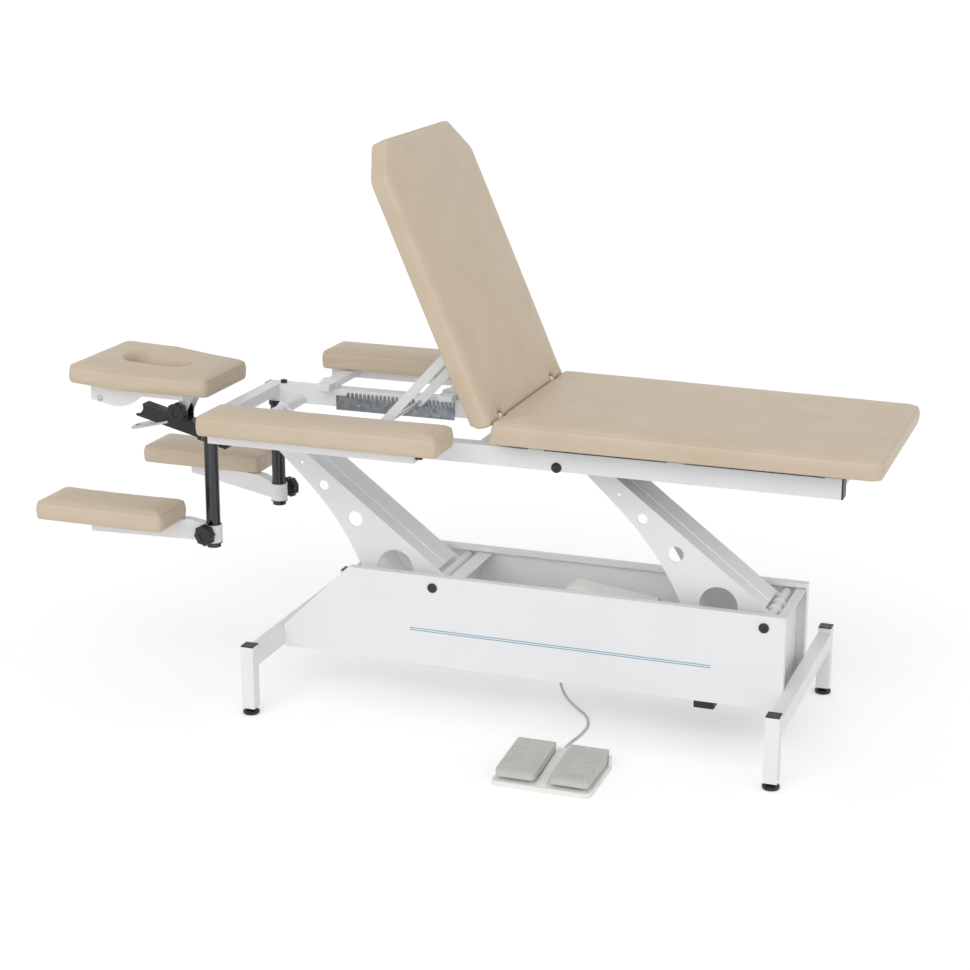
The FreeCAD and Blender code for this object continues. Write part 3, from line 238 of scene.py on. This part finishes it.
CAMERA_PLACE = Vector((1.6310, -5.0541, 2.1750))
CAMERA_AZIMUTH = math.radians(19.527)
CAMERA_ELEVATION = math.radians(16.434)
CAMERA_ROLL = math.radians(0.176)
CAMERA_LENS = 78.66
CAMERA_SENSOR = 36
CAMERA_REACH = 100
AMBIENT = 0.62
FLOOR_LIFT = 0.31
FLOOR_HALF = 30.0
FLOOR_GREY = 0.9


def camera():
    a, e = CAMERA_AZIMUTH, CAMERA_ELEVATION
    ahead = Vector((-math.sin(a) * math.cos(e), math.cos(a) * math.cos(e), -math.sin(e)))
    right = Vector((math.cos(a), math.sin(a), 0))
    up = right.cross(ahead)
    turn = Matrix((right, up, -ahead)).transposed().to_4x4()
    data = bpy.data.cameras.new("camera")
    data.lens = CAMERA_LENS
    data.sensor_width = CAMERA_SENSOR
    data.sensor_fit = "HORIZONTAL"
    data.clip_end = CAMERA_REACH
    eye = bpy.data.objects.new("camera", data)
    eye.matrix_world = Matrix.Translation(CAMERA_PLACE) @ turn @ Matrix.Rotation(CAMERA_ROLL, 4, "Z")
    scene.collection.objects.link(eye)
    scene.camera = eye


def sun(name, azimuth, elevation, spread, strength):
    """Soft light from far away; azimuth runs from the front towards the foot end, in degrees."""
    data = bpy.data.lights.new(name, "SUN")
    data.energy = strength
    data.angle = math.radians(spread)
    a, e = math.radians(azimuth), math.radians(elevation)
    source = Vector((math.sin(a) * math.cos(e), -math.cos(a) * math.cos(e), math.sin(e)))
    lamp = bpy.data.objects.new(name, data)
    lamp.rotation_euler = (-source).to_track_quat("-Z", "Y").to_euler()
    scene.collection.objects.link(lamp)


def seen_directly(tree):
    """One for rays from the camera, mirrors and glass, and nought for light that falls on the object."""
    path = tree.nodes.new("ShaderNodeLightPath")
    total = path.outputs["Is Camera Ray"]
    for ray in ("Is Glossy Ray", "Is Transmission Ray"):
        most = tree.nodes.new("ShaderNodeMath")
        most.operation = "MAXIMUM"
        tree.links.new(total, most.inputs[0])
        tree.links.new(path.outputs[ray], most.inputs[1])
        total = most.outputs[0]
    return total


def mixed(tree, factor, first, second):
    mix = tree.nodes.new("ShaderNodeMixShader")
    tree.links.new(factor, mix.inputs["Fac"])
    tree.links.new(first, mix.inputs[1])
    tree.links.new(second, mix.inputs[2])
    return mix.outputs["Shader"]


def world():
    """Even light all round, shown as plain white where it is seen directly."""
    light = bpy.data.worlds.new("studio")
    scene.world = light
    light.use_nodes = True
    tree = light.node_tree
    ambient = tree.nodes["Background"]
    ambient.inputs["Color"].default_value = (1, 1, 1, 1)
    ambient.inputs["Strength"].default_value = AMBIENT
    white = tree.nodes.new("ShaderNodeBackground")
    white.inputs["Color"].default_value = (1, 1, 1, 1)
    shown = mixed(tree, seen_directly(tree), ambient.outputs["Background"], white.outputs["Background"])
    tree.links.new(shown, tree.nodes["World Output"].inputs["Surface"])


def floor():
    """Pale floor that keeps the shadow and is lifted to white where it is seen directly."""
    mesh = bpy.data.meshes.new("floor")
    corners = [(x * FLOOR_HALF, y * FLOOR_HALF, 0) for x, y in ((-1, -1), (1, -1), (1, 1), (-1, 1))]
    mesh.from_pydata(corners, [], [(0, 1, 2, 3)])
    ground = bpy.data.objects.new("floor", mesh)
    scene.collection.objects.link(ground)
    s = Shader("floor", 0.9, specular=0.1)
    s.surface.inputs["Base Color"].default_value = (FLOOR_GREY, FLOOR_GREY, FLOOR_GREY, 1)
    tree = s.tree
    glow = tree.nodes.new("ShaderNodeEmission")
    glow.inputs["Strength"].default_value = FLOOR_LIFT
    lifted = tree.nodes.new("ShaderNodeAddShader")
    tree.links.new(s.surface.outputs["BSDF"], lifted.inputs[0])
    tree.links.new(glow.outputs["Emission"], lifted.inputs[1])
    shown = mixed(tree, seen_directly(tree), s.surface.outputs["BSDF"], lifted.outputs["Shader"])
    tree.links.new(shown, tree.nodes["Material Output"].inputs["Surface"])
    mesh.materials.append(s.material)


camera()
world()
floor()
sun("key", azimuth=-6, elevation=32, spread=50, strength=0.8)
sun("fill", azimuth=70, elevation=22, spread=70, strength=0.35)
sun("front", azimuth=20, elevation=12, spread=60, strength=0.25)


# Foot switch cord, along the same route as the solid

CORD_ROUTE_MM = ((50, 0, 102), (52, 0, 66), (70, -4, 26), (108, -18, 3.5), (147, -58, 3.5), (170, -114, 3.5),
                 (171, -176, 3.5), (160, -234, 3.5), (155, -288, 5), (176.5, -345, 9))
CORD_DIAMETER = 0.007


def cord():
    data = bpy.data.curves.new("footswitch_lead", "CURVE")
    data.dimensions = "3D"
    data.bevel_depth = CORD_DIAMETER / 2
    data.bevel_resolution = 6
    data.resolution_u = 16
    data.use_fill_caps = True
    line = data.splines.new("NURBS")
    line.points.add(len(CORD_ROUTE_MM) - 1)
    for point, place in zip(line.points, CORD_ROUTE_MM):
        point.co = (*[c / 1000 for c in place], 1)
    line.order_u = 3
    line.use_endpoint_u = True
    data.materials.append(MATERIALS["cord_grey"])
    piece = bpy.data.objects.new("footswitch_lead", data)
    scene.collection.objects.link(piece)
    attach(piece, "base")
    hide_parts("footswitch_cord")


cord()


# Cushions: the solid's form evened out, then blown up a little under a tight cover

HINGE = Vector((-0.0523, 0, 0.840))
BACKREST_ANGLE = math.radians(66.3)
HEAD_CORNER = Vector((-0.905, 0, 0.792))
HEAD_TILT = math.radians(3.0)
COARSE_VOXEL = 0.007
FINE_VOXEL = 0.005
LARGE_SWELL = 0.002
SMALL_SWELL = 0.0018
BOTTOM_BAND = 0.4
COVER_STEPS = 20
CRISPNESS = 0.75
SEAM_LEVEL = 0.79
SEAM_WIDTH = 0.003
SEAT_FALL = 0.0107
HINGE_SLOT = (0.195, 0.225)


def about(point, angle):
    return Matrix.Translation(point) @ Matrix.Rotation(angle, 4, "Y") @ Matrix.Translation(-point)


def coords(mesh):
    flat = np.zeros(len(mesh.vertices) * 3, np.float32)
    mesh.vertices.foreach_get("co", flat)
    return flat.reshape(-1, 3)


def set_coords(mesh, co):
    mesh.vertices.foreach_set("co", np.ascontiguousarray(co, np.float32).ravel())
    mesh.update()


def settle(piece, rest, cap):
    """Blow the cover up with a little pressure, and keep each point within cap of its start."""
    cloth = piece.modifiers.new("cover", "CLOTH")
    settings = cloth.settings
    settings.quality = 4
    settings.mass = 0.25
    settings.tension_stiffness = 20
    settings.compression_stiffness = 20
    settings.shear_stiffness = 8
    settings.bending_stiffness = 0.6
    settings.use_pressure = True
    settings.uniform_pressure_force = 4
    settings.effector_weights.gravity = 0
    settings.vertex_group_mass = "seat"
    cloth.collision_settings.use_collision = False
    for step in range(1, COVER_STEPS + 1):
        scene.frame_set(step)
    graph = bpy.context.evaluated_depsgraph_get()
    blown = coords(piece.evaluated_get(graph).to_mesh()).copy()
    piece.evaluated_get(graph).to_mesh_clear()
    piece.modifiers.remove(cloth)
    scene.frame_set(1)
    move = blown - rest
    length = np.linalg.norm(move, axis=1, keepdims=True)
    return rest + move * np.minimum(1, cap / np.maximum(length, 1e-9))


def smooth(mesh, rounds, keep):
    """Even out the mesh, leaving the points in keep where they are."""
    edges = np.zeros(len(mesh.edges) * 2, np.int32)
    mesh.edges.foreach_get("vertices", edges)
    edges = edges.reshape(-1, 2)
    co = coords(mesh)
    count = np.bincount(edges.ravel(), minlength=len(co))[:, None]
    for _ in range(rounds):
        total = np.zeros_like(co)
        np.add.at(total, edges[:, 0], co[edges[:, 1]])
        np.add.at(total, edges[:, 1], co[edges[:, 0]])
        even = total / np.maximum(count, 1)
        co = np.where(keep[:, None], co, 0.5 * co + 0.5 * even)
    set_coords(mesh, co)


def fill_out(mesh, rings):
    """Square up one end of a pad with stacks of oblongs joined to its mesh, clear of the two hinges.

    Each ring is (left, right, half width, height).
    """
    shape = bmesh.new()
    shape.from_mesh(mesh)
    inner, outer = HINGE_SLOT
    for place in (-1, 0, 1):
        loops = []
        for left, right, half, z in rings:
            near, far = sorted((place * outer, place * half)) if place else (-inner, inner)
            corners = ((left, near), (right, near), (right, far), (left, far))
            loops.append([shape.verts.new((x, y, z)) for x, y in corners])
        shape.faces.new(loops[0][::-1])
        shape.faces.new(loops[-1])
        for low, high in zip(loops, loops[1:]):
            for a in range(4):
                b = (a + 1) % 4
                shape.faces.new((low[a], low[b], high[b], high[a]))
    shape.to_mesh(mesh)
    shape.free()


def cushion(name, node, body, voxel, cap, flat=Matrix.Identity(4), end=(), fall=0.0):
    """Upholstered pad in the place of one soft solid; flat turns the solid level while it is made."""
    mesh = nodes[node].data.copy()
    mesh.name = name
    mesh.transform(flat)
    if end:
        fill_out(mesh, end)
    solid = BVHTree.FromPolygons([v.co for v in mesh.vertices], [f.vertices for f in mesh.polygons])
    piece = add(name, mesh, body, "vinyl")
    remesh = piece.modifiers.new("even", "REMESH")
    remesh.mode = "VOXEL"
    remesh.voxel_size = voxel
    graph = bpy.context.evaluated_depsgraph_get()
    even = bpy.data.meshes.new_from_object(piece.evaluated_get(graph))
    piece.modifiers.remove(remesh)
    piece.data = even
    even.name = name
    even.materials.clear()
    even.materials.append(MATERIALS["vinyl"])
    start = coords(even)
    low = start[:, 2].min()
    bottom = start[:, 2] < low + BOTTOM_BAND * voxel
    smooth(even, 2, bottom)
    start = coords(even)
    crisp = np.array([solid.find_nearest(Vector(point))[0] for point in start.tolist()], np.float32)
    rest = CRISPNESS * crisp + (1 - CRISPNESS) * start
    set_coords(even, rest)
    group = piece.vertex_groups.new(name="seat")
    group.add([int(i) for i in np.nonzero(bottom)[0]], 1.0, "ADD")
    set_coords(even, settle(piece, rest, cap))
    piece.vertex_groups.remove(group)
    smooth(even, 1, bottom)
    even.transform(flat.inverted())
    for face in even.polygons:
        face.use_smooth = True
    finer = piece.modifiers.new("finer", "SUBSURF")
    finer.levels = 1
    finer.render_levels = 1
    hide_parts(node)
    seam(piece, body, flat, fall)


def walk(edges):
    """Closed rings of points from loose edges, the longest ring first."""
    next_to = {}
    for a, b in edges:
        next_to.setdefault(a, []).append(b)
        next_to.setdefault(b, []).append(a)
    rings = []
    while next_to:
        here = next(iter(next_to))
        ring = []
        while here is not None:
            ring.append(here)
            links = next_to.pop(here)
            here = next((point for point in links if point in next_to), None)
        rings.append(ring)
    return sorted(rings, key=len, reverse=True)


def seam(piece, body, flat, fall):
    """Stitched edge round a pad, a little below its top face; fall is the slope of that face along X."""
    graph = bpy.context.evaluated_depsgraph_get()
    mesh = bpy.data.meshes.new_from_object(piece.evaluated_get(graph))
    mesh.transform(flat)
    shape = bmesh.new()
    shape.from_mesh(mesh)
    bpy.data.meshes.remove(mesh)
    heights = [v.co.z for v in shape.verts]
    level = min(heights) + SEAM_LEVEL * (max(heights) - min(heights))
    everything = shape.verts[:] + shape.edges[:] + shape.faces[:]
    start = min(v.co.x for v in shape.verts)
    bmesh.ops.bisect_plane(shape, geom=everything, plane_co=(start, 0, level), plane_no=(fall, 0, 1),
                           clear_inner=True, clear_outer=True)
    ring = walk([(e.verts[0], e.verts[1]) for e in shape.edges])[0][::2]
    data = bpy.data.curves.new(piece.name + "_seam", "CURVE")
    data.dimensions = "3D"
    data.bevel_depth = SEAM_WIDTH / 2
    data.bevel_resolution = 1
    line = data.splines.new("POLY")
    line.points.add(len(ring) - 1)
    for point, vertex in zip(line.points, ring):
        point.co = (*vertex.co, 1)
    line.use_cyclic_u = True
    shape.free()
    shaper = bpy.data.objects.new("shaper", data)
    scene.collection.objects.link(shaper)
    graph = bpy.context.evaluated_depsgraph_get()
    welt = bpy.data.meshes.new_from_object(shaper.evaluated_get(graph))
    bpy.data.objects.remove(shaper)
    welt.transform(flat.inverted())
    add(piece.name + "_seam", welt, body, "vinyl")


# Rings that square up the pads' ends at the crease, as fill_out takes them
SEAT_END = ((-0.054, 0.04, 0.2965, 0.7905), (-0.046, 0.04, 0.301, 0.822), (-0.042, 0.04, 0.3, 0.842),
            (-0.037, 0.04, 0.292, 0.8505))
BACKREST_END = ((-0.13, -0.062, 0.2965, 0.7965), (-0.13, -0.048, 0.3, 0.809), (-0.13, -0.045, 0.301, 0.818),
                (-0.13, -0.042, 0.3, 0.842), (-0.13, -0.048, 0.292, 0.8505))
lay_back = about(HINGE, -BACKREST_ANGLE)
lay_head = about(HEAD_CORNER, -HEAD_TILT)
cushion("seat_pad", "seat_cushion", "top_frame", COARSE_VOXEL, LARGE_SWELL, end=SEAT_END, fall=SEAT_FALL)
cushion("backrest_pad", "backrest_cushion", "backrest", COARSE_VOXEL, LARGE_SWELL, lay_back, BACKREST_END)
cushion("head_pad", "head_cushion", "head_cradle", FINE_VOXEL, LARGE_SWELL, lay_head)
for side in ("front", "rear"):
    cushion("armrest_pad_" + side, "armrest_cushion_" + side, "armrest_" + side, FINE_VOXEL, SMALL_SWELL)
    cushion("support_pad_" + side, "support_cushion_" + side, "support_arm_" + side, FINE_VOXEL, SMALL_SWELL)


# Trim

def blocks(name, places, round_off, body, slot, turn=Matrix.Identity(4)):
    """Small blocks with rounded edges in one mesh; places are low and high corners in metres."""
    shape = bmesh.new()
    for low, high in places:
        low, high = Vector(low), Vector(high)
        size = Matrix.Diagonal((*(high - low), 1))
        bmesh.ops.create_cube(shape, size=1, matrix=turn @ Matrix.Translation((low + high) / 2) @ size)
    bmesh.ops.bevel(shape, geom=shape.edges[:], offset=round_off, segments=2, profile=0.5, affect="EDGES")
    mesh = bpy.data.meshes.new(name)
    shape.to_mesh(mesh)
    shape.free()
    add(name, mesh, body, slot)


SCREW_PROFILE_MM = ((0, 2.6), (2.6, 2.6), (2.6, 4.6), (4.6, 4.6), (6.2, 3.8), (6.6, 1.5), (9.2, 1.3),
                    (9.2, 0))
SCREW_SIDES = 24
SCREW_PLACE = (-1.239, 0.110, 0.762)
SIDES = (("front", -1), ("rear", 1))


def screw(name, place, outward, body):
    """Round screw head with a socket and a washer, turned from its profile."""
    shape = bmesh.new()
    verts = [shape.verts.new((r / 1000, 0, h / 1000)) for r, h in SCREW_PROFILE_MM]
    edges = [shape.edges.new(pair) for pair in zip(verts, verts[1:])]
    bmesh.ops.spin(shape, geom=verts + edges, cent=(0, 0, 0), axis=(0, 0, 1), dvec=(0, 0, 0),
                   angle=2 * math.pi, steps=SCREW_SIDES, use_merge=True)
    bmesh.ops.remove_doubles(shape, verts=shape.verts[:], dist=1e-6)
    bmesh.ops.recalc_face_normals(shape, faces=shape.faces[:])
    mesh = bpy.data.meshes.new(name)
    shape.to_mesh(mesh)
    shape.free()
    mesh.transform(Matrix.Translation(place) @ outward.to_track_quat("Z", "X").to_matrix().to_4x4())
    add(name, mesh, body, "steel")


for side, sign in SIDES:
    x, y, z = SCREW_PLACE
    screw("cradle_screw_" + side, Vector((x, sign * y, z)), Vector((0, sign, 0)), "head_cradle")

STRIPE_LEVELS = (0.2262, 0.2206)
STRIPE_ENDS = (-0.318, 0.497)
STRIPE_HALF = 0.0011
STRIPE_ROUND = 0.0001
PANEL_FACE = -0.150
FILM_FRONT = PANEL_FACE - 0.0003
FILM_BACK = PANEL_FACE + 0.0002
stripes = [((STRIPE_ENDS[0], FILM_FRONT, z - STRIPE_HALF), (STRIPE_ENDS[1], FILM_BACK, z + STRIPE_HALF))
           for z in STRIPE_LEVELS]
blocks("panel_pinstripe", stripes, STRIPE_ROUND, "base", "pinstripe")

PEDAL_SIDES = (("pedal_up", 0.057, 0.1575), ("pedal_down", 0.1955, 0.296))
PEDAL_FRONT = (0, -0.533, 0.039)
PEDAL_SLOPE = math.atan2(0.013, 0.176)
RIB_COUNT = 16
RIB_PITCH = 0.0082
RIB_NEAR = 0.008
RIB_FAR = 0.0115
RIB_MARGIN = 0.008
RIB_FOOT = -0.0006
RIB_TOP = 0.0012
RIB_ROUND = 0.0005
tread = Matrix.Translation(PEDAL_FRONT) @ Matrix.Rotation(PEDAL_SLOPE, 4, "X")
for pedal, left, right in PEDAL_SIDES:
    ribs = [((left + RIB_MARGIN, RIB_NEAR + RIB_PITCH * i, RIB_FOOT),
             (right - RIB_MARGIN, RIB_FAR + RIB_PITCH * i, RIB_TOP)) for i in range(RIB_COUNT)]
    blocks(pedal + "_ribs", ribs, RIB_ROUND, pedal, slot_of[pedal], tread)

SPINE_PROFILE_MM = ((-546, 8), (-543, 15), (-520, 18), (-420, 28), (-372, 34), (-354, 31), (-349, 8))
SPINE_SIDES_MM = (164, 189)
SPINE_ROUND = 0.0025


def switch_spine():
    """Rounded ridge between the two pedals, rising to the end where the cord goes in."""
    shape = bmesh.new()
    left, right = [[shape.verts.new((x / 1000, y / 1000, z / 1000)) for y, z in SPINE_PROFILE_MM]
                   for x in SPINE_SIDES_MM]
    shape.faces.new(left)
    shape.faces.new(right[::-1])
    for i in range(len(left)):
        shape.faces.new((left[i - 1], right[i - 1], right[i], left[i]))
    bmesh.ops.recalc_face_normals(shape, faces=shape.faces[:])
    bmesh.ops.bevel(shape, geom=shape.edges[:], offset=SPINE_ROUND, segments=3, profile=0.5, affect="EDGES")
    mesh = bpy.data.meshes.new("footswitch_spine")
    shape.to_mesh(mesh)
    shape.free()
    add("footswitch_spine", mesh, "base", "pale_plastic")


switch_spine()

BAR_PLACES = (-0.690, -0.330)
BAR_HALF = 0.0195
BAR_LEVELS = (0.7685, 0.7855)
BAR_END_OUTER = 0.1525
BAR_END_INNER = 0.149
BAR_END_ROUND = 0.0015
for side, sign in SIDES:
    near, far = sorted((sign * BAR_END_OUTER, sign * BAR_END_INNER))
    ends = [((x - BAR_HALF, near, BAR_LEVELS[0]), (x + BAR_HALF, far, BAR_LEVELS[1])) for x in BAR_PLACES]
    blocks("slide_bar_ends_" + side, ends, BAR_END_ROUND, "armrest_" + side, "white_coat")
